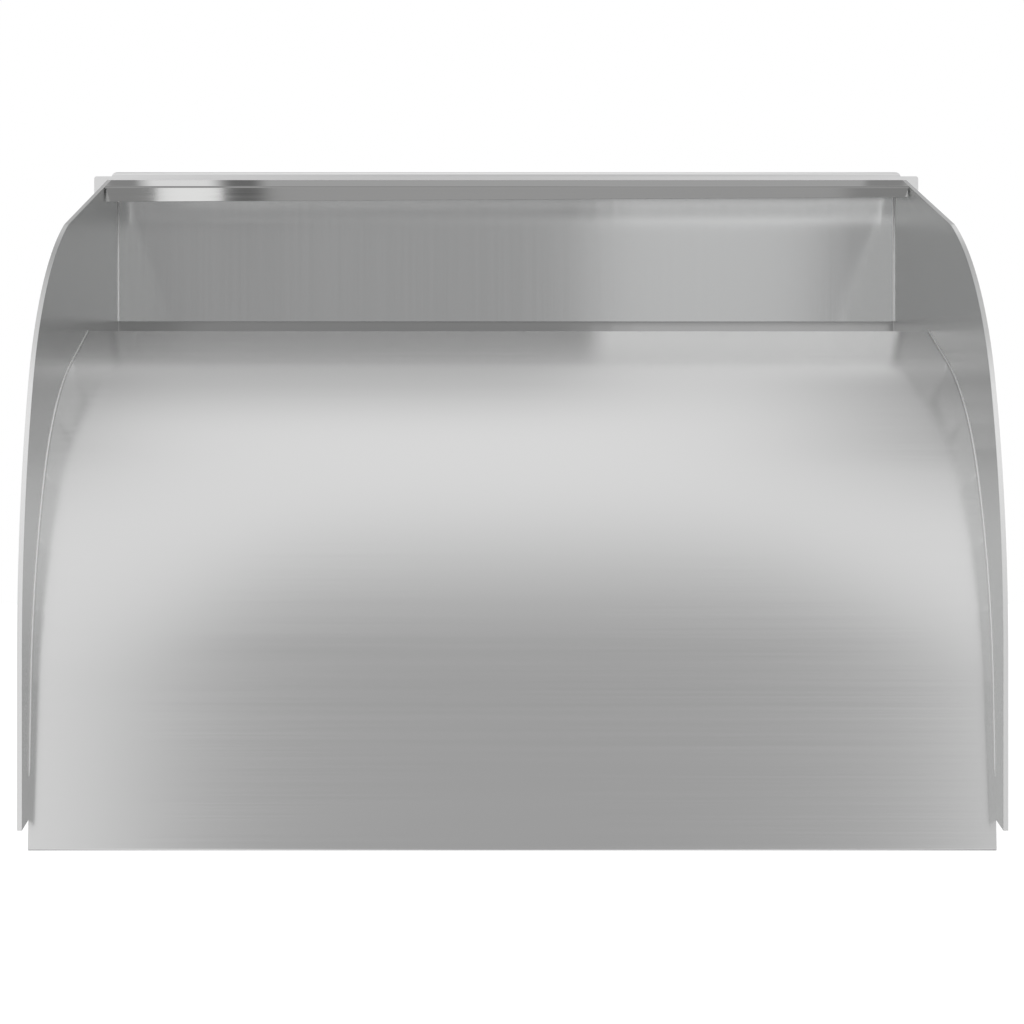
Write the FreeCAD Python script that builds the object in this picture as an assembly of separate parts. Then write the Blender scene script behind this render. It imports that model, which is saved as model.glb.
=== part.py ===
import FreeCAD, Part
import math
import os

# Wall-hung water slide of folded stainless sheet, as its separate pieces.
# Frame: the wall is the plane y = 0 and the front faces -Y; +X is to the right seen from the
# front and +Z is up. The origin is the centre of the six wall fixings. Sizes in millimetres.

# Overall size: width over the mounting plate, depth from the wall, height over plate and top rail
overall_width = 640.0
overall_depth = 300.0
overall_height = 520.0

# Sheet thicknesses
sheet_t = 1.5
plate_t = 2.0
cheek_t = 3.0
rib_t = 3.0
bend_r = 2.5

# Mounting plate, its rails and its standoff bushes
standoff = 11.5
rail_rise = 4.0
rail_width = 614.0
rail_height = 26.0
rail_return = 8.0
rail_corner_r = 5.0
plate_corner_r = 2.0
fixing_x = 312.0
fixing_z = 222.0
fixing_r = 3.5
bush_r = 7.0

# Space between the cheeks
inner_width = 602.0

# Side outline of the cheeks: flat top, straight slope, a kink, two arcs, an upright front edge
roof_z = 250.0
roof_slope = 22.3
kink_y = -178.3
kink_z = 193.6
brow_angle = 28.9
brow_radius = 203.0
brow_turn = 43.2
tip_z = -198.2
tip_cut_slope = 14.0

# Side outline of the slide: shelf, crest fold, straight ramp, two arcs, a straight lower end
crest_y = -120.4
crest_z = 126.8
crest_r = 2.0
ramp_angle = 27.7
ramp_length = 57.7
slide_radius = 165.0
slide_turn = 36.6
end_angle = 86.3
lower_edge_y = -286.0
lower_edge_z = -213.3
hem_r = 1.8
hem_length = 10.0

# Header lip and back panel
lip_y = -62.6
lip_left_z = 229.6
lip_right_z = 233.1
lip_end_gap = 1.0
lip_fold_r = 1.7
panel_bottom_z = 145.1

# Water chamber below the shelf
riser_y = -35.0
riser_flange = 20.0
tray_front_y = -110.0
tray_floor_z = 50.0
tray_flange = 20.0
diffuser_z = 108.0
slot_length = 20.0
slot_width = 8.0
slot_count = 20

# Inlet and spreader pipe
pipe_y = -72.0
pipe_z = 88.0
pipe_r = 24.15
pipe_wall = 2.0
pipe_half_length = 288.0
jet_r = 4.0
jet_count = 22
jet_pitch = 26.0
stub_r = 21.2
socket_r = 29.0
socket_height = 26.0
thread_r = 22.4
thread_length = 22.0
cradle_x = 200.0
cradle_t = 4.0
cradle_half_width = 30.0

# Stiffening behind the slide
rib_depth = 28.0
rib_x = 150.0
rib_straight = 45.0
crossbar_start = 50.0
crossbar_height = 22.0
crossbar_depth = 20.0

half_inner = inner_width / 2
plate_back_y = -standoff
plate_front_y = plate_back_y - plate_t
panel_front_y = plate_front_y - sheet_t
plate_top_z = (overall_height - rail_rise) / 2


def point(y, z, x=0.0):
    return FreeCAD.Vector(x, y, z)


def direction(heading):
    """Unit step in the side view, heading in degrees from +Y towards +Z."""
    angle = math.radians(heading)
    return point(math.cos(angle), math.sin(angle))


def bend_setback(radius, turn):
    """Distance from a sharp corner to where its bend begins."""
    return radius * math.tan(math.radians(turn) / 2)


def side_path(start, heading, steps, offset=0.0):
    """Edges of a side-view path of lines and tangent arcs, and its end points.

    A step is (length,) or (radius, turn), where a positive turn goes to the left.
    offset moves the whole path to its left, so arcs keep their centres."""
    here = start + direction(heading + 90) * offset
    first = here
    edges = []
    for step in steps:
        if len(step) == 1:
            there = here + direction(heading) * step[0]
            edges.append(Part.LineSegment(here, there).toShape())
        else:
            radius, turn = step
            side = math.copysign(1, turn)
            radius = radius - side * offset
            centre = here + direction(heading + 90 * side) * radius
            middle = centre + direction(heading + turn / 2 - 90 * side) * radius
            heading = heading + turn
            there = centre + direction(heading - 90 * side) * radius
            edges.append(Part.Arc(here, middle, there).toShape())
        here = there
    return edges, first, here


def smooth_run(edges):
    """One edge in place of a run of tangent ones, so that a rolled sheet is a single face."""
    curves = [edge.Curve.toBSpline(*edge.ParameterRange) for edge in edges]
    run = curves[0]
    for curve in curves[1:]:
        run.join(curve)
    return run.toShape()


def across(edges, left_x, right_x):
    """Solid between two x positions of a closed side-view outline."""
    wire = Part.Wire(Part.__sortEdges__(edges))
    wire.translate(FreeCAD.Vector(left_x, 0, 0))
    return Part.Face(wire).extrude(FreeCAD.Vector(right_x - left_x, 0, 0))


def band(start, heading, steps, near, far, left_x, right_x, smooth=slice(0)):
    """Solid between two offsets of one side-view path: a folded sheet or a curved rib.

    smooth says which steps of the path become one edge."""
    edges, first, last = side_path(start, heading, steps, near)
    far_edges, far_first, far_last = side_path(start, heading, steps, far)
    for one_side in (edges, far_edges):
        if one_side[smooth]:
            one_side[smooth] = [smooth_run(one_side[smooth])]
    edges += far_edges
    edges.append(Part.LineSegment(first, far_first).toShape())
    edges.append(Part.LineSegment(last, far_last).toShape())
    return across(edges, left_x, right_x)


def block(x0, x1, y0, y1, z0, z1):
    return Part.makeBox(x1 - x0, y1 - y0, z1 - z0, FreeCAD.Vector(x0, y0, z0))


def rod(radius, start, end):
    """Cylinder from one point to another."""
    way = end - start
    return Part.makeCylinder(radius, way.Length, start, way)


def round_upright(shape, radius):
    """Rounds the four long edges that run along Y of a flat block."""
    edges = [edge for edge in shape.Edges if abs(edge.tangentAt(edge.FirstParameter).y) > 0.99]
    return shape.makeFillet(radius, edges)


def fixing_points(y):
    return [point(y, z, x) for x in (-fixing_x, fixing_x) for z in (-fixing_z, 0, fixing_z)]


# ---- Wall side: plate, rails, bushes ----

def mounting_plate():
    half = overall_width / 2
    plate = block(-half, half, plate_front_y, plate_back_y, -plate_top_z, plate_top_z)
    plate = round_upright(plate, plate_corner_r)
    for hole in fixing_points(plate_front_y):
        plate = plate.cut(rod(fixing_r, hole, hole + point(plate_t, 0)))
    return plate


def rail(bottom_z):
    """Folded C section, its web on the plate and its two returns on the wall."""
    fold = (bend_r, -90)
    side = (standoff - 2 * bend_r,)
    end = (rail_return - bend_r,)
    steps = [end, fold, side, fold, (rail_height - 2 * bend_r,), fold, side, fold, end]
    start = point(0, bottom_z + rail_return)
    half = rail_width / 2
    folded = band(start, 270, steps, 0, -sheet_t, -half, half)
    rounded = block(-half, half, -standoff, 0, bottom_z, bottom_z + rail_height)
    return folded.common(round_upright(rounded, rail_corner_r))


def standoff_bushes():
    bushes = []
    for back in fixing_points(0):
        front = back + point(-standoff, 0)
        bushes.append(rod(bush_r, back, front).cut(rod(fixing_r, back, front)))
    return Part.makeCompound(bushes)


# ---- Body: cheeks, slide, back panel, header ----

def cheek(left_x):
    slope = math.tan(math.radians(roof_slope))
    cut = math.tan(math.radians(tip_cut_slope))
    angles = [math.sin(math.radians(brow_angle + turn)) for turn in (0, brow_turn)]
    brow_end_y = kink_y - brow_radius * (angles[1] - angles[0])
    front_radius = (brow_end_y + overall_depth) / (1 - angles[1])
    arcs = [(brow_radius, brow_turn), (front_radius, 90 - brow_angle - brow_turn)]
    kink = point(kink_y, kink_z)
    edges, first, front = side_path(kink, 180 + brow_angle, arcs)
    tip = point(-overall_depth, tip_z)
    corners = [
        front,
        tip,
        point(plate_front_y, tip_z + (plate_front_y + overall_depth) * cut),
        point(plate_front_y, roof_z),
        point(kink_y + (roof_z - kink_z) / slope, roof_z),
        kink,
    ]
    edges += [Part.LineSegment(a, b).toShape() for a, b in zip(corners, corners[1:])]
    return across(edges, left_x, left_x + cheek_t)


def slide_lower_radius():
    """Radius of the slide's second arc, so that its lower edge lands on its place."""
    start_angle = math.radians(ramp_angle)
    mid_angle = math.radians(ramp_angle + slide_turn)
    last_angle = math.radians(end_angle)
    run_y = crest_y - ramp_length * math.cos(start_angle)
    run_y -= slide_radius * (math.sin(mid_angle) - math.sin(start_angle))
    run_z = crest_z - ramp_length * math.sin(start_angle)
    run_z += slide_radius * (math.cos(mid_angle) - math.cos(start_angle))
    reach = run_y - lower_edge_y - (run_z - lower_edge_z) / math.tan(last_angle)
    sweep = math.sin(last_angle) - math.sin(mid_angle)
    sweep += (math.cos(last_angle) - math.cos(mid_angle)) / math.tan(last_angle)
    radius = reach / sweep
    arc_end_z = run_z + radius * (math.cos(last_angle) - math.cos(mid_angle))
    return radius, arc_end_z


lower_radius, lower_arc_end_z = slide_lower_radius()
slide_arcs = [(slide_radius, slide_turn), (lower_radius, end_angle - ramp_angle - slide_turn)]
straight_length = (lower_arc_end_z - lower_edge_z - hem_r) / math.sin(math.radians(end_angle))
ramp_start = point(crest_y, crest_z)
ramp_end = ramp_start + direction(180 + ramp_angle) * ramp_length


def slide_sheet():
    """One sheet: riser flange, shelf, crest, ramp, curve, and a hem folded back at the end."""
    crest_setback = bend_setback(crest_r, ramp_angle)
    steps = [
        (riser_flange - bend_r,),
        (bend_r, 90),
        (riser_y - crest_y - bend_r - crest_setback,),
        (crest_r, ramp_angle),
        (ramp_length - crest_setback,),
        *slide_arcs,
        (straight_length,),
        (hem_r, 180),
        (hem_length,),
    ]
    start = point(riser_y, crest_z - riser_flange)
    rolled = slice(4, 8)
    return band(start, 90, steps, 0, sheet_t, -half_inner, half_inner, rolled)


def back_panel():
    return block(
        -half_inner, half_inner, panel_front_y, plate_front_y, panel_bottom_z, roof_z - sheet_t
    )


def header_cover():
    """Roof, slope and lip in one sheet; the lip stops short of the cheeks and is cut tapered."""
    slope = math.tan(math.radians(roof_slope))
    slope_start_y = kink_y + (roof_z - kink_z) / slope
    slope_length = (slope_start_y - lip_y) / math.cos(math.radians(roof_slope))
    corner_z = kink_z + (lip_y - kink_y) * slope
    lip_turn = 90 - roof_slope
    first_setback = bend_setback(bend_r, roof_slope)
    lip_setback = bend_setback(lip_fold_r, lip_turn)
    steps = [
        (plate_front_y - slope_start_y - first_setback,),
        (bend_r, roof_slope),
        (slope_length - first_setback - lip_setback,),
        (lip_fold_r, lip_turn),
        (corner_z - lip_left_z - lip_setback,),
    ]
    start = point(plate_front_y, roof_z)
    cover = band(start, 180, steps, 0, sheet_t, -half_inner, half_inner)
    lip_top_z = corner_z - lip_setback
    for x in (-half_inner, half_inner - lip_end_gap):
        gap = block(x, x + lip_end_gap, lip_y - 1, lip_y + 2 * sheet_t, lip_left_z - 1, lip_top_z)
        cover = cover.cut(gap)
    corners = [
        FreeCAD.Vector(-half_inner, lip_y - 1, lip_left_z),
        FreeCAD.Vector(half_inner, lip_y - 1, lip_right_z),
        FreeCAD.Vector(half_inner, lip_y - 1, lip_left_z - 1),
        FreeCAD.Vector(-half_inner, lip_y - 1, lip_left_z - 1),
    ]
    wedge = Part.Face(Part.makePolygon(corners + corners[:1]))
    return cover.cut(wedge.extrude(point(2 + sheet_t, 0)))


# ---- Water chamber: tray, diffuser, inlet, spreader pipe ----

def chamber_tray():
    depth = plate_front_y - tray_front_y
    steps = [
        (crest_z - sheet_t - tray_floor_z - bend_r,),
        (bend_r, 90),
        (depth - 2 * bend_r,),
        (bend_r, 90),
        (tray_flange - bend_r,),
    ]
    start = point(tray_front_y, crest_z - sheet_t)
    tray = band(start, 270, steps, 0, sheet_t, -half_inner, half_inner)
    hole_bottom = point(pipe_y, tray_floor_z)
    return tray.cut(rod(socket_r, hole_bottom, hole_bottom + point(0, sheet_t)))


def diffuser_strip():
    top_z = diffuser_z + sheet_t
    strip = block(-half_inner, half_inner, riser_y, plate_front_y, diffuser_z, top_z)
    pitch = inner_width / slot_count
    middle_y = (riser_y + plate_front_y) / 2
    reach = (slot_length - slot_width) / 2
    for i in range(slot_count):
        x = -half_inner + pitch * (i + 0.5)
        y0 = middle_y - slot_width / 2
        strip = strip.cut(block(x - reach, x + reach, y0, y0 + slot_width, diffuser_z, top_z))
        for end in (x - reach, x + reach):
            low = point(middle_y, diffuser_z, end)
            strip = strip.cut(rod(slot_width / 2, low, low + point(0, sheet_t)))
    return strip


def inlet_socket():
    top = point(pipe_y, tray_floor_z + sheet_t)
    bottom = top - point(0, socket_height)
    socket = rod(socket_r, bottom, top).cut(rod(stub_r - pipe_wall, bottom, top))
    return socket.cut(rod(thread_r, bottom, bottom + point(0, thread_length)))


def pipe_line(radius, half_length=pipe_half_length):
    return rod(radius, point(pipe_y, pipe_z, -half_length), point(pipe_y, pipe_z, half_length))


def inlet_stub():
    """Tube from the socket up to the spreader pipe, its end cut to the pipe's round."""
    low = point(pipe_y, tray_floor_z + sheet_t)
    high = point(pipe_y, pipe_z)
    tube = rod(stub_r, low, high).cut(rod(stub_r - pipe_wall, low, high))
    return tube.cut(pipe_line(pipe_r))


def spreader_pipe():
    pipe = pipe_line(pipe_r).cut(pipe_line(pipe_r - pipe_wall))
    middle = point(pipe_y, pipe_z)
    pipe = pipe.cut(rod(stub_r - pipe_wall, middle, middle - point(0, pipe_r)))
    for i in range(jet_count):
        axis = point(pipe_y, pipe_z, jet_pitch * (i - (jet_count - 1) / 2))
        pipe = pipe.cut(rod(jet_r, axis, axis - point(pipe_r, 0)))
    return pipe


def spreader_cap(side):
    inner = point(pipe_y, pipe_z, side * pipe_half_length)
    return rod(pipe_r, inner, inner + FreeCAD.Vector(side * pipe_wall, 0, 0))


def cradle(side):
    x = side * cradle_x - cradle_t / 2
    y = pipe_y - cradle_half_width
    plate = block(x, x + cradle_t, y, y + 2 * cradle_half_width, tray_floor_z + sheet_t, pipe_z)
    return plate.cut(pipe_line(pipe_r))


# ---- Stiffening behind the slide ----

def rib(x):
    """Curved plate on edge behind the slide, from the end of the ramp to above the crossbar."""
    steps = slide_arcs + [(rib_straight,)]
    left_x = x - rib_t / 2
    far = sheet_t + rib_depth
    return band(ramp_end, 180 + ramp_angle, steps, sheet_t, far, left_x, left_x + rib_t)


def lower_crossbar():
    """Channel across the back of the slide's straight lower end, open to the rear."""
    arc_edges, first, arc_end = side_path(ramp_end, 180 + ramp_angle, slide_arcs)
    down = 180 + end_angle
    on_sheet = arc_end + direction(down) * crossbar_start + direction(down + 90) * sheet_t
    start = on_sheet + direction(down + 90) * crossbar_depth
    leg = (crossbar_depth - bend_r,)
    steps = [leg, (bend_r, 90), (crossbar_height - 2 * bend_r,), (bend_r, 90), leg]
    return band(start, down - 90, steps, 0, sheet_t, -half_inner, half_inner)


pieces = {
    "mounting_plate": mounting_plate(),
    "top_rail": rail(plate_top_z + rail_rise - rail_height),
    "bottom_rail": rail(-plate_top_z),
    "standoff_bushes": standoff_bushes(),
    "left_cheek": cheek(-half_inner - cheek_t),
    "right_cheek": cheek(half_inner),
    "slide_sheet": slide_sheet(),
    "back_panel": back_panel(),
    "header_cover": header_cover(),
    "chamber_tray": chamber_tray(),
    "diffuser_strip": diffuser_strip(),
    "inlet_socket": inlet_socket(),
    "inlet_stub": inlet_stub(),
    "spreader_pipe": spreader_pipe(),
    "spreader_cap_left": spreader_cap(-1),
    "spreader_cap_right": spreader_cap(1),
    "cradle_left": cradle(-1),
    "cradle_right": cradle(1),
    "rib_left": rib(-rib_x),
    "rib_centre": rib(0),
    "rib_right": rib(rib_x),
    "lower_crossbar": lower_crossbar(),
}

os.makedirs("parts", exist_ok=True)
for name, shape in pieces.items():
    if not shape.isValid():
        raise ValueError(name + " is not a valid shape")
    shape.exportStep("parts/" + name + ".step")
    print(name, len(shape.Solids), "solid(s)", round(shape.Volume / 1000, 1), "cm3")
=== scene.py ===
import math
import bmesh
import bpy
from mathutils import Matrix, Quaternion, Vector


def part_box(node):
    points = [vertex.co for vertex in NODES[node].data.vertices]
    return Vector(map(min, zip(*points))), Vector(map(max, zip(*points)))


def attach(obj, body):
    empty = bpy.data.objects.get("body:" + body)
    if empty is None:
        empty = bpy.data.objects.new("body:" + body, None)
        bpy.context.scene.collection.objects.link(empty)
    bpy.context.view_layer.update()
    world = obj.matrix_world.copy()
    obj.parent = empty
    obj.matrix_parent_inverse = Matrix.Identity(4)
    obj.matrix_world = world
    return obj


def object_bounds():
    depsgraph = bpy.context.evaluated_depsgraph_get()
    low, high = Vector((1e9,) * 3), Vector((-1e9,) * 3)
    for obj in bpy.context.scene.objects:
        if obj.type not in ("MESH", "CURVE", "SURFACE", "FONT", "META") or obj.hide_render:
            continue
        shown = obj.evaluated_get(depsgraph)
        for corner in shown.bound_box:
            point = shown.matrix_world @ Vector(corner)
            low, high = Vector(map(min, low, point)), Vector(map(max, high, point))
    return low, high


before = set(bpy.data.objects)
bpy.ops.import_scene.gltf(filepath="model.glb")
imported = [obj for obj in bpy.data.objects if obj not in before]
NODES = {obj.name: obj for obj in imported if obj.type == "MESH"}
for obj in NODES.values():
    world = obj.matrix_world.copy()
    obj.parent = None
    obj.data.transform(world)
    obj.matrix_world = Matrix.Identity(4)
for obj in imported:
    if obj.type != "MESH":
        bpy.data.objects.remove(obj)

cad_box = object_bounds()

slide_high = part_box("slide_sheet")[1]
panel_low, panel_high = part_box("back_panel")
header_low, header_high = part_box("header_cover")
cheek_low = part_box("left_cheek")[0]
plate_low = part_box("mounting_plate")[0]
half_inner = slide_high.x


# ---- Shader helpers ----

class Shader:
    """A node tree with short calls for the few node kinds that are used here."""

    def __init__(self, tree):
        self.tree = tree
        tree.nodes.clear()

    def node(self, kind, **settings):
        made = self.tree.nodes.new(kind)
        for name, value in settings.items():
            setattr(made, name, value)
        return made

    def join(self, source, target):
        self.tree.links.new(source, target)

    def feed(self, socket, value):
        """Links an output, or sets a plain value."""
        if isinstance(value, bpy.types.NodeSocket):
            self.join(value, socket)
        else:
            socket.default_value = value

    def math(self, operation, first, second=0.0):
        made = self.node("ShaderNodeMath", operation=operation)
        self.feed(made.inputs[0], first)
        self.feed(made.inputs[1], second)
        return made.outputs[0]

    def times(self, *factors):
        product = factors[0]
        for factor in factors[1:]:
            product = self.math("MULTIPLY", product, factor)
        return product

    def step(self, value, low, high, at_low=0.0, at_high=1.0):
        """Smooth change from at_low to at_high while value goes from low to high."""
        made = self.node("ShaderNodeMapRange", interpolation_type="SMOOTHSTEP")
        self.feed(made.inputs["Value"], value)
        settings = (("From Min", low), ("From Max", high), ("To Min", at_low), ("To Max", at_high))
        for name, number in settings:
            made.inputs[name].default_value = number
        return made.outputs[0]

    def window(self, value, start, end, soft):
        """1 between start and end, 0 outside, with soft edges."""
        up = self.step(value, start - soft / 2, start + soft / 2)
        down = self.step(value, end - soft / 2, end + soft / 2, 1.0, 0.0)
        return self.times(up, down)

    def position(self, coordinate):
        """X, Y and Z outputs of one of the texture coordinates."""
        where = self.node("ShaderNodeTexCoord")
        split = self.node("ShaderNodeSeparateXYZ")
        self.join(where.outputs[coordinate], split.inputs[0])
        return split.outputs

    def grain(self, scale, detail=3.0, roughness=0.6):
        """Noise in the object's own metres, stretched by a different scale along each axis."""
        where = self.node("ShaderNodeTexCoord")
        mapping = self.node("ShaderNodeMapping")
        self.join(where.outputs["Object"], mapping.inputs["Vector"])
        mapping.inputs["Scale"].default_value = scale
        noise = self.node("ShaderNodeTexNoise")
        self.join(mapping.outputs[0], noise.inputs["Vector"])
        noise.inputs["Scale"].default_value = 1.0
        noise.inputs["Detail"].default_value = detail
        noise.inputs["Roughness"].default_value = roughness
        return noise.outputs["Fac"]


# ---- Materials ----

# Scales of the grain along X, Y and Z
ALONG_X = (5.0, 1800.0, 1800.0)
ALONG_Z = (1800.0, 1800.0, 5.0)
EVEN = (900.0, 900.0, 900.0)

BROAD = 8.0                         # how much wider the broad grain is than the fine one
FINE_SHARE = 0.6
GRAIN_RANGE = (0.3, 0.7)            # the stretch of the noise that is spread over the whole change
GRAIN_HEIGHT = 0.0005
PAINTED_SHADE_SHARE = 0.25                       # what is left of the tint under a painted shade
EDGE_HIGHLIGHT_TINT = (0.80, 0.80, 0.80)         # tint of the painted highlight on a cut edge
QUARTER_TURN = 0.25


def stainless(name, tint, roughness, grain_scale, spread=0.02, bump=0.01, contrast=0.010,
              brushed=None, curved=False, shade=None, bright=None):
    """Stainless steel with a directional grain: it varies roughness, tint and relief.

    brushed is how much more the grain blurs reflections across than along itself. curved says
    that the sheet bends about X, so its brushing direction follows the bend.
    shade and bright, if given, build a factor from 0 to 1 that takes the tint to a painted shade
    or to a painted highlight."""
    material = bpy.data.materials.new(name)
    material.use_nodes = True
    shader = Shader(material.node_tree)
    output = shader.node("ShaderNodeOutputMaterial")
    steel = shader.node("ShaderNodeBsdfPrincipled")
    shader.join(steel.outputs[0], output.inputs[0])
    steel.inputs["Metallic"].default_value = 1.0
    fine = shader.grain(grain_scale)
    broad = shader.grain([scale / BROAD for scale in grain_scale], detail=2.0)
    both = shader.math(
        "ADD", shader.times(fine, FINE_SHARE), shader.times(broad, 1 - FINE_SHARE)
    )
    rough = shader.step(both, *GRAIN_RANGE, roughness - spread, roughness + spread)
    shader.join(rough, steel.inputs["Roughness"])
    colours = shader.node("ShaderNodeMix", data_type="RGBA")
    shader.join(shader.step(both, *GRAIN_RANGE), colours.inputs["Factor"])
    colours.inputs["A"].default_value = [c * (1 - contrast) for c in tint] + [1]
    colours.inputs["B"].default_value = [c * (1 + contrast) for c in tint] + [1]
    colour = colours.outputs["Result"]
    # Painted shade and painted highlight: the tint is darkened or lightened in place of light and
    # shade.
    for factor, target in ((shade, [c * PAINTED_SHADE_SHARE for c in tint]), (bright, EDGE_HIGHLIGHT_TINT)):
        if factor:
            changed = shader.node("ShaderNodeMix", data_type="RGBA")
            shader.join(factor(shader), changed.inputs["Factor"])
            shader.join(colour, changed.inputs["A"])
            changed.inputs["B"].default_value = [*target, 1]
            colour = changed.outputs["Result"]
    shader.join(colour, steel.inputs["Base Color"])
    if brushed:
        steel.inputs["Anisotropic"].default_value = brushed
        if curved:
            about_x = shader.node("ShaderNodeTangent", direction_type="RADIAL", axis="X")
            shader.join(about_x.outputs[0], steel.inputs["Tangent"])
        else:
            steel.inputs["Anisotropic Rotation"].default_value = QUARTER_TURN
    relief = shader.node("ShaderNodeBump")
    relief.inputs["Strength"].default_value = bump
    relief.inputs["Distance"].default_value = GRAIN_HEIGHT
    shader.join(fine, relief.inputs["Height"])
    shader.join(relief.outputs[0], steel.inputs["Normal"])
    return material


def painted_slot_shade(shader):
    """Factor of the painted shade that darkens the mounting plate's front where it shows through
    the water slot.
    """
    strength = 0.8
    depth = 0.08
    soft = 0.002
    skin = (0.0002, 0.0008)
    x, y, z = shader.position("Object")
    wide = shader.window(x, -half_inner, half_inner, soft / 2)
    high = shader.window(z, panel_low.z - depth, panel_low.z + soft, soft)
    front = shader.step(y, plate_low.y + skin[0], plate_low.y + skin[1], 1.0, 0.0)
    return shader.times(wide, high, front, strength)


def painted_edge_highlight(shader):
    """Factor of the painted highlight: 1 on the cut edges of an upright sheet, 0 on its two faces.
    """
    turning = (0.4, 0.6)
    geometry = shader.node("ShaderNodeNewGeometry")
    split = shader.node("ShaderNodeSeparateXYZ")
    shader.join(geometry.outputs["True Normal"], split.inputs[0])
    return shader.step(shader.math("ABSOLUTE", split.outputs[0]), *turning, 1.0, 0.0)


slide_steel = stainless(
    "slide_steel", (0.70, 0.70, 0.70), 0.215, ALONG_X, brushed=0.55, curved=True
)
panel_steel = stainless(
    "panel_steel", (0.62, 0.625, 0.625), 0.165, ALONG_Z, 0.01, contrast=0.02, brushed=0.8
)
# The cheeks' cut edges get a painted highlight: a lighter tint.
cheek_steel = stainless("cheek_steel", (0.61, 0.615, 0.61), 0.25, ALONG_Z, bright=painted_edge_highlight)
polished_steel = stainless("polished_steel", (0.60, 0.60, 0.595), 0.05, ALONG_X, 0.01, 0.002)
# The plate's front behind the water slot is darkened by painted shade.
plate_steel = stainless("plate_steel", (0.82, 0.82, 0.82), 0.30, ALONG_X, shade=painted_slot_shade)
turned_steel = stainless("turned_steel", (0.68, 0.68, 0.68), 0.22, EVEN)
inner_steel = stainless("inner_steel", (0.62, 0.62, 0.62), 0.32, EVEN, contrast=0.03)
weld_steel = stainless("weld_steel", (0.86, 0.86, 0.86), 0.48, EVEN, contrast=0.03)

FINISH = {
    "slide_sheet": slide_steel,
    "back_panel": panel_steel,
    "left_cheek": cheek_steel,
    "right_cheek": cheek_steel,
    "header_cover": polished_steel,
    "mounting_plate": plate_steel,
    "top_rail": plate_steel,
    "bottom_rail": plate_steel,
    "standoff_bushes": turned_steel,
    "inlet_socket": turned_steel,
}

for name, node in NODES.items():
    node.data.materials.clear()
    node.data.materials.append(FINISH.get(name, inner_steel))


# ---- Weld beads ----

SLIDE_BEAD_RADIUS = 0.00065
PANEL_BEAD_RADIUS = 0.0009
BEAD_ROOT = 0.2                     # how deep the bead's hidden corner lies, in radii
BEAD_START = -10.0                  # degrees
BEAD_SWEEP = 110.0
SHARP_EDGE = 0.7                    # radians
BEAD_END = 0.005                    # how far above the cheeks' lowest point the beads end
CREST_AHEAD = 0.05                  # the crest lies further than this in front of the header

BEADS = []


def bead(name, path, across, lifts, radius, sides=6):
    """Closed quarter-round fillet along an inside corner, between across and each point's lift."""
    form = bmesh.new()
    rings = []
    for here, lift in zip(path, lifts):
        ring = [form.verts.new(here - (across + lift) * radius * BEAD_ROOT)]
        for i in range(sides + 1):
            angle = math.radians(BEAD_START + BEAD_SWEEP * i / sides)
            out = across * math.cos(angle) + lift * math.sin(angle)
            ring.append(form.verts.new(here + out * radius))
        rings.append(ring)
    for one, two in zip(rings, rings[1:]):
        for i in range(len(one)):
            j = (i + 1) % len(one)
            form.faces.new((one[i], one[j], two[j], two[i]))
    form.faces.new(rings[0])
    form.faces.new(rings[-1])
    bmesh.ops.recalc_face_normals(form, faces=form.faces)
    for edge in form.edges:
        edge.smooth = edge.calc_face_angle(0) < SHARP_EDGE
    mesh = bpy.data.meshes.new(name)
    form.to_mesh(mesh)
    form.free()
    mesh.polygons.foreach_set("use_smooth", [True] * len(mesh.polygons))
    mesh.materials.append(weld_steel)
    made = bpy.data.objects.new(name, mesh)
    bpy.context.collection.objects.link(made)
    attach(made, "root")
    BEADS.append(made)


def slide_seam(side):
    """Points of the slide's visible edge against one cheek, from the crest to the cheek's tip."""
    mesh = NODES["slide_sheet"].data
    outward = Vector((0, -0.7, 0.7))
    least_outward = 0.5
    level = 0.99
    touching = 1e-5
    digits = 6
    behind_crest_y = header_low.y - CREST_AHEAD
    found = set()
    for face in mesh.polygons:
        if face.normal.dot(outward) < least_outward or abs(face.normal.z) > level:
            continue
        for index in face.vertices:
            corner = mesh.vertices[index].co
            if abs(corner.x - side * half_inner) < touching and corner.y < behind_crest_y:
                found.add((round(-corner.z, digits), round(corner.y, digits)))
    end_z = cheek_low.z + BEAD_END
    seam = []
    for minus_z, y in sorted(found):
        here = Vector((side * half_inner, y, -minus_z))
        if here.z < end_z:
            above = seam[-1]
            seam.append(above.lerp(here, (above.z - end_z) / (above.z - here.z)))
            break
        seam.append(here)
    return seam


def weld_beads():
    for side, word in ((-1, "left"), (1, "right")):
        across = Vector((-side, 0, 0))
        seam = slide_seam(side)
        lifts = []
        for i in range(len(seam)):
            way = (seam[min(i + 1, len(seam) - 1)] - seam[max(i - 1, 0)]).normalized()
            lifts.append(Vector((0, way.z, -way.y)))
        bead("weld_slide_" + word, seam, across, lifts, SLIDE_BEAD_RADIUS)
        ends = [Vector((side * half_inner, panel_low.y, z)) for z in (panel_low.z, panel_high.z)]
        bead("weld_panel_" + word, ends, across, [Vector((0, -1, 0))] * 2, PANEL_BEAD_RADIUS)


weld_beads()


# ---- Studio: a white room with a darker wall behind the camera ----

# x, y and z are the parts of a direction of length 1. The camera looks along y, and z is up.
# Upright edges in front of the object are given as x / -y, and those behind it as x / y.

ROOM_LIGHT = 0.99
WALL_DARKNESS = 0.53
WALL_TOP = (math.radians(6), math.radians(51))
WIDE_WALL = ((-0.60, -0.45), (0.45, 0.60))
NARROW_WALL = ((-0.243, -0.162), (0.245, 0.335))
IN_FRONT = (-0.3, -0.05)            # y over which things in front of the object fade out
NEARLY_LEVEL = 0.001                # keeps a division away from 0

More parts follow.
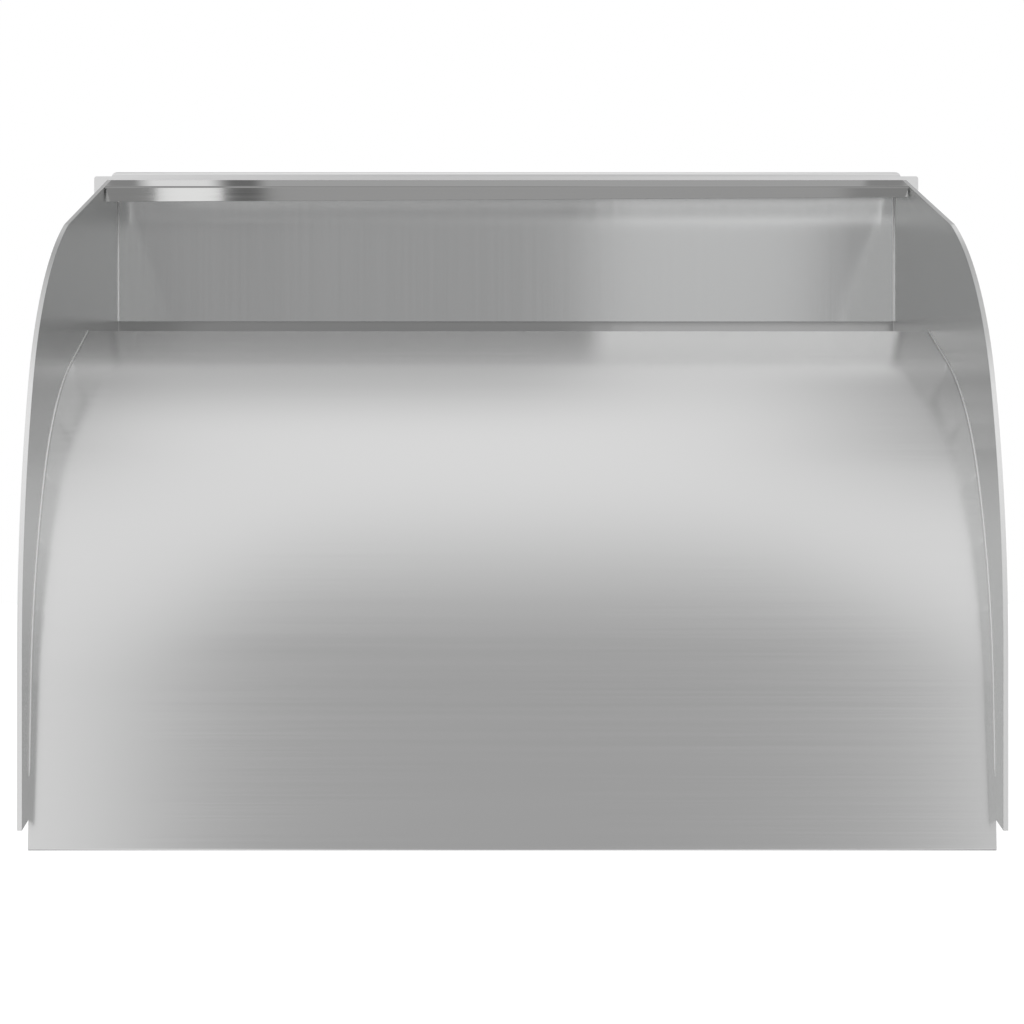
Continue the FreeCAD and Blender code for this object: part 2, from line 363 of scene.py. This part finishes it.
CEILING = (0.30, 0.62)
CEILING_END = (0.25, 0.7)
CEILING_DARKNESS = 0.55
SHELL_RADIUS = 40.0

# Upright bars: left edge, right edge, softness and brightness added
WALL_ENDS = (
    (-0.31, -0.234, 0.01, 0.27),
    (-0.226, -0.182, 0.012, -0.14),
    (0.208, 0.275, 0.012, -0.14),
)
# The same, with the share of the light taken away
BARS_BEHIND = (
    (-0.253, -0.233, 0.006, 0.35),
    (-0.228, -0.180, 0.014, -1.0),
    (-0.174, -0.150, 0.014, 0.60),
    (0.259, 0.286, 0.006, 0.35),
)


def bars(sky, across, edges):
    """Sum of upright bars with soft edges."""
    total = 0.0
    for left, right, soft, strength in edges:
        bar = sky.times(sky.window(across, left, right, soft), strength)
        total = sky.math("ADD", total, bar)
    return total


def dark_wall(sky, x, y, z, left, right):
    """Factor of the darker wall in front of the object, between soft left and right edges."""
    ahead = sky.math("MAXIMUM", sky.times(y, -1.0), NEARLY_LEVEL)
    narrowing = sky.math("ADD", 1.0, sky.math("MAXIMUM", sky.times(z, 0.5), 0.0))
    spread = sky.times(sky.math("DIVIDE", x, ahead), narrowing)
    sides = sky.times(sky.step(spread, *left), sky.step(spread, *right, 1.0, 0.0))
    low = sky.step(sky.math("ARCSINE", z), *WALL_TOP, 1.0, 0.0)
    return sky.times(sides, low, sky.step(y, *IN_FRONT, 1.0, 0.0))


def ceiling(sky, y, z):
    """Factor of the dark ceiling, which only the polished header and the panel show."""
    end = sky.step(y, *CEILING_END, 1.0, 0.0)
    return sky.times(sky.step(z, *CEILING), end, CEILING_DARKNESS)


def rear_shade(sky, x, y, z):
    """What is missing from the light above and behind the object, most of it near the top."""
    backwards = (-0.35, 0.45)
    rightwards = (0.03, 0.09)
    rear_wall = (0.55, 0.8)
    upwards = (-0.3, 0.3)
    above = sky.times(sky.step(y, *backwards, 0.0, 0.36), sky.step(x, *rightwards, 1.0, 0.35))
    far = sky.step(y, *rear_wall)
    near = sky.times(above, sky.math("SUBTRACT", 1.0, far))
    rear = sky.math("ADD", near, sky.times(far, 0.54))
    return sky.times(rear, sky.step(z, *upwards, 0.4, 1.0))


def wing_shade(sky, x, y):
    """What is missing from the light at the two sides of the room, from the wall to the rear."""
    right_edges = ((0.13, 0.30), (0.45, 0.65))
    left_edges = ((-0.65, -0.45), (-0.30, -0.17))
    front_edge = (-0.82, -0.42)
    rear_edge = (0.3, 0.6)
    right = sky.times(sky.step(x, *right_edges[0]), sky.step(x, *right_edges[1], 1.0, 0.0))
    left = sky.times(sky.step(x, *left_edges[1], 1.0, 0.0), sky.step(x, *left_edges[0]))
    wings = sky.times(sky.math("ADD", left, right), sky.step(y, *front_edge), 0.5)
    return sky.times(wings, sky.step(y, *rear_edge, 1.0, 0.0))


def low_shade(sky, x, z):
    """What is missing from the light low down at the far left and right."""
    outwards = (0.4, 0.8)
    upwards = (-0.25, 0.3)
    beside = sky.step(sky.math("ABSOLUTE", x), *outwards)
    return sky.times(beside, sky.step(z, *upwards, 0.45, 0.0))


def room(sky, wall, x, y, z):
    """Brightness of the plain white room with a dark wall between the given edges."""
    dark = sky.times(dark_wall(sky, x, y, z, *wall), WALL_DARKNESS)
    light = sky.math("SUBTRACT", ROOM_LIGHT, dark)
    for shade in (rear_shade(sky, x, y, z), wing_shade(sky, x, y), low_shade(sky, x, z)):
        light = sky.math("SUBTRACT", light, shade)
    return light


def wall_ends(sky, x, y, z):
    """Ends of the wall as the panel shows them: dark on both sides, and light beyond the left."""
    upwards = (0.25, 0.45)
    across = sky.math("DIVIDE", x, sky.math("MAXIMUM", sky.times(y, -1.0), NEARLY_LEVEL))
    low = sky.times(sky.step(z, *upwards, 1.0, 0.0), sky.step(y, *IN_FRONT, 1.0, 0.0))
    return sky.times(bars(sky, across, WALL_ENDS), low)


def dim_room(sky, x, y, z):
    """The room as the world shows it: with its widest dark wall and its dark ceiling."""
    open_sky = sky.math("SUBTRACT", 1.0, ceiling(sky, y, z))
    light = sky.times(room(sky, WIDE_WALL, x, y, z), open_sky)
    return sky.math("ADD", light, wall_ends(sky, x, y, z))


def mullions(sky, x, y, z):
    """Narrow bars of the room that show in the polished header: one in front, four behind."""
    front_width = (-0.143, -0.121, 0.012)
    front_height = (0.160, 0.200, 0.01)
    back_height = (0.48, 0.64, 0.04)
    backwards = (0.2, 0.3)
    in_front = sky.times(sky.window(x, *front_width), sky.window(z, *front_height), 0.66)
    across = sky.math("DIVIDE", x, sky.math("MAXIMUM", y, NEARLY_LEVEL))
    back = sky.times(sky.window(z, *back_height), sky.step(y, *backwards))
    behind = sky.times(bars(sky, across, BARS_BEHIND), back)
    return sky.math("ADD", in_front, behind)


def studio_light(sky):
    """Brightness of the room in each direction, seen only in reflections."""
    x, y, z = sky.position("Generated")
    light = dim_room(sky, x, y, z)
    return sky.times(light, sky.math("SUBTRACT", 1.0, mullions(sky, x, y, z)))


def studio_world():
    world = bpy.data.worlds.new("studio")
    bpy.context.scene.world = world
    world.use_nodes = True
    sky = Shader(world.node_tree)
    output = sky.node("ShaderNodeOutputWorld")
    seen = sky.node("ShaderNodeBackground")
    seen.inputs["Color"].default_value = (1, 1, 1, 1)
    seen.inputs["Strength"].default_value = 1.0
    lit = sky.node("ShaderNodeBackground")
    lit.inputs["Color"].default_value = (1, 1, 1, 1)
    sky.join(studio_light(sky), lit.inputs["Strength"])
    path = sky.node("ShaderNodeLightPath")
    mix = sky.node("ShaderNodeMixShader")
    sky.join(path.outputs["Is Camera Ray"], mix.inputs[0])
    sky.join(lit.outputs[0], mix.inputs[1])
    sky.join(seen.outputs[0], mix.inputs[2])
    sky.join(mix.outputs[0], output.inputs[0])


def light_only(source, receivers):
    """Limits a lamp or a glowing object to the given objects."""
    linked = bpy.data.collections.new(source.name + "_lights")
    for receiver in receivers:
        linked.objects.link(receiver)
    source.light_linking.receiver_collection = linked


def side_glow(radius):
    """Glowing shell that makes the dark wall narrower and the ceiling light for most parts.

    The two parts named below, which mirror the room most sharply, don't see it."""
    bpy.ops.mesh.primitive_uv_sphere_add(segments=48, ring_count=24, radius=radius)
    shell = bpy.context.object
    shell.name = "side_glow"
    material = bpy.data.materials.new("side_glow")
    material.use_nodes = True
    shader = Shader(material.node_tree)
    output = shader.node("ShaderNodeOutputMaterial")
    clear = shader.node("ShaderNodeBsdfTransparent")
    glow = shader.node("ShaderNodeEmission")
    both = shader.node("ShaderNodeAddShader")
    x, y, z = [shader.times(part, 1 / radius) for part in shader.position("Object")]
    bright_room = room(shader, NARROW_WALL, x, y, z)
    extra = shader.math("SUBTRACT", bright_room, dim_room(shader, x, y, z))
    shader.join(extra, glow.inputs["Strength"])
    shader.join(clear.outputs[0], both.inputs[0])
    shader.join(glow.outputs[0], both.inputs[1])
    shader.join(both.outputs[0], output.inputs[0])
    shell.data.materials.append(material)
    shell.visible_camera = False
    shell.visible_diffuse = False
    shell.visible_shadow = False
    dimmer = ("back_panel", "header_cover")
    light_only(shell, [node for name, node in NODES.items() if name not in dimmer] + BEADS)


# ---- Small lamps ----

POWER_PER_RADIANCE = 4.0            # power of a square metre of lamp at a radiance of 1
TOWARDS_CAMERA = (0, -1, 0)
TOWARDS_REAR = (0, 1, 0)


def lamp(name, centre, facing, width, height, radiance, *receivers, turn=0.0):
    """Rectangular lamp, wide along a level line, which lights only the named nodes.

    turn is how far it is turned about the way it faces, against the clock seen from the front."""
    data = bpy.data.lights.new(name, "AREA")
    data.shape = "RECTANGLE"
    data.size = width
    data.size_y = height
    data.energy = POWER_PER_RADIANCE * width * height * radiance
    made = bpy.data.objects.new(name, data)
    bpy.context.collection.objects.link(made)
    made.location = centre
    level = Vector(facing).to_track_quat("-Z", "Y")
    made.rotation_euler = (level @ Quaternion((0, 0, 1), turn)).to_euler()
    made.visible_camera = False
    light_only(made, [NODES[name] for name in receivers])


def seam_stretch(side, high_z, low_z):
    """Upper and lower point of one stretch of the slide's edge, and the direction up along it."""
    seam = slide_seam(side)
    high = min(seam, key=lambda here: abs(here.z - high_z))
    low = min(seam, key=lambda here: abs(here.z - low_z))
    return high, low, (high - low).normalized()


def seam_lamp(side, word, high_z, low_z, reach, height, radiance):
    """Lamp on a cheek, beside one stretch of the slide: what the slide's end reflects there.

    reach is how far the lamp goes on past the stretch's upper point."""
    off_cheek = 0.0015
    high, low, way = seam_stretch(side, high_z, low_z)
    high = high + way * reach
    centre = (high + low) / 2 + Vector((0, -way.z, way.y)) * height / 2
    centre.x = side * (half_inner - off_cheek)
    name = "%s_%s" % (word, "right" if side > 0 else "left")
    length = (high - low).length
    turn = side * math.atan2(way.z, way.y)
    lamp(name, centre, (-side, 0, 0), length, height, radiance, "slide_sheet", turn=turn)


def strip_lamp(word, high_z, low_z, radiance):
    """Lamp lying on the slide beside the right cheek: a brighter slide, as that cheek shows it."""
    off_slide = 0.0015
    width = 0.06
    high, low, way = seam_stretch(1, high_z, low_z)
    facing = Vector((0, -way.z, way.y))
    centre = (high + low) / 2 + facing * off_slide
    centre.x = half_inner - width / 2
    lamp(word, centre, facing, width, (high - low).length, radiance, "right_cheek")


def edge_lamps():
    """Lamps for both edges of the slide, weaker further down, and lamps for the right cheek."""
    ramp_foot_z = 0.1
    curve_step = 0.042
    strip_top_z = 0.112
    strip_step = 0.015
    ramp_reach = 0.065
    ramp_height = 0.07
    curve_reach = 0.003
    for side, ramp_light in ((-1, 0.07), (1, 0.13)):
        seam_lamp(side, "ramp_end", slide_high.z, ramp_foot_z, ramp_reach, ramp_height, ramp_light)
        for i in range(5):
            high_z = ramp_foot_z - curve_step * i
            low_z = high_z - curve_step
            height = 0.048 - 0.007 * i
            light = 0.10 - 0.017 * i
            seam_lamp(side, "curve_%d" % i, high_z, low_z, curve_reach, height, light)
    for i, light in enumerate((0.04, 0.09, 0.11, 0.08, 0.04)):
        high_z = strip_top_z - strip_step * i
        strip_lamp("strip_%d" % i, high_z, high_z - strip_step, light)


def stretches(start, end, left, right, parts=3):
    """Left end, right end and brightness of each lamp in a row across the bay.

    The brightness is even up to start, changes in equal steps, and is even again from end on."""
    width = (end - start) / parts
    change = [
        (start + i * width, start + (i + 1) * width, left + (right - left) * (i + 0.5) / parts)
        for i in range(parts)
    ]
    return [(-half_inner, start, left), *change, (end, half_inner, right)]


def lamp_row(name, row, y, z, facing, height, *receivers):
    """Lamps side by side across the bay, as stretches gives them."""
    for i, (x0, x1, light) in enumerate(row):
        lamp("%s_%d" % (name, i), ((x0 + x1) / 2, y, z), facing, x1 - x0, height, light, *receivers)


def bay_lamps():
    """Lamps that open up the dark bay under the header, as the bright room does.

    The room is brighter on the right, so each row of lamps changes near the middle."""
    mouth_y = header_low.y
    lip_z = header_low.z
    bay = ("back_panel", "left_cheek", "right_cheek")

    mouth = 0.050
    row = stretches(0.060, 0.078, 0.13, 0.47)
    lamp_row("mouth", row, mouth_y, lip_z - mouth / 2, TOWARDS_CAMERA, mouth, "slide_sheet")
    under = 0.008
    row = stretches(0.060, 0.078, 0.08, 0.02, 1)
    lamp_row("under", row, mouth_y, lip_z - under / 2, TOWARDS_CAMERA, under, "slide_sheet")

    lip = 0.010
    lip_y = mouth_y + 1.4 * (header_high.z - panel_high.z)
    slope = 0.0165
    slope_angle = math.radians(22.33)
    slope_facing = (0, math.sin(slope_angle), -math.cos(slope_angle))
    slope_y = mouth_y + 0.0098
    slope_z = header_high.z - 0.0073
    row = stretches(0.058, 0.100, 0.28, 0.45)
    lamp_row("lip", row, lip_y, lip_z + lip / 2, TOWARDS_REAR, lip, *bay)
    lamp_row("slope", row, slope_y, slope_z, slope_facing, slope, *bay)

    slot = 0.018
    slot_y = panel_low.y - 0.0145
    row = stretches(0.050, 0.100, 0.0, 0.42)[1:]
    lamp_row("slot", row, slot_y, panel_low.z - slot / 2, TOWARDS_REAR, slot, "mounting_plate")


def window_lamps():
    """Two bright windows of the room, each for the parts that show it."""
    away = 20.0
    place = (0.138 * away, -away, 0.165 * away)
    width = 0.148 * away
    height = 0.30 * away
    lamp("window_right", place, TOWARDS_REAR, width, height, 0.27, "back_panel", "mounting_plate")
    place = (-0.5615, -2.0, 0.59)
    width = 0.123
    height = 0.18
    lamp("window_left", place, TOWARDS_REAR, width, height, 0.58, "header_cover")


# ---- Floor and camera ----

FLOOR_SIZE = 60.0
FLOOR_DROP = 1.4                    # from the object's lowest point: it hangs on a wall
CAMERA_PLACE = (-0.0188, -1.3756, -0.0027)
LENS = 61.66
FRAMING_SHIFT = 0.0293


def pale_floor(height):
    bpy.ops.mesh.primitive_plane_add(size=FLOOR_SIZE, location=(0, 0, height))
    floor = bpy.context.object
    floor.name = "floor"
    material = bpy.data.materials.new("floor_white")
    material.use_nodes = True
    surface = material.node_tree.nodes["Principled BSDF"]
    surface.inputs["Base Color"].default_value = (0.95, 0.95, 0.95, 1)
    surface.inputs["Roughness"].default_value = 0.9
    surface.inputs["Emission Color"].default_value = (1, 1, 1, 1)
    surface.inputs["Emission Strength"].default_value = 0.65
    floor.data.materials.append(material)
    floor.visible_glossy = False


def camera():
    data = bpy.data.cameras.new("camera")
    data.sensor_width = 36.0
    data.lens = LENS
    data.shift_x = FRAMING_SHIFT
    data.clip_end = 200.0
    made = bpy.data.objects.new("camera", data)
    bpy.context.collection.objects.link(made)
    made.location = CAMERA_PLACE
    made.rotation_euler = (math.radians(90), 0, 0)
    bpy.context.scene.camera = made


studio_world()
side_glow(SHELL_RADIUS)
bay_lamps()
edge_lamps()
window_lamps()
pale_floor(cad_box[0][2] - FLOOR_DROP)
camera()
bpy.context.scene.view_settings.view_transform = "Standard"
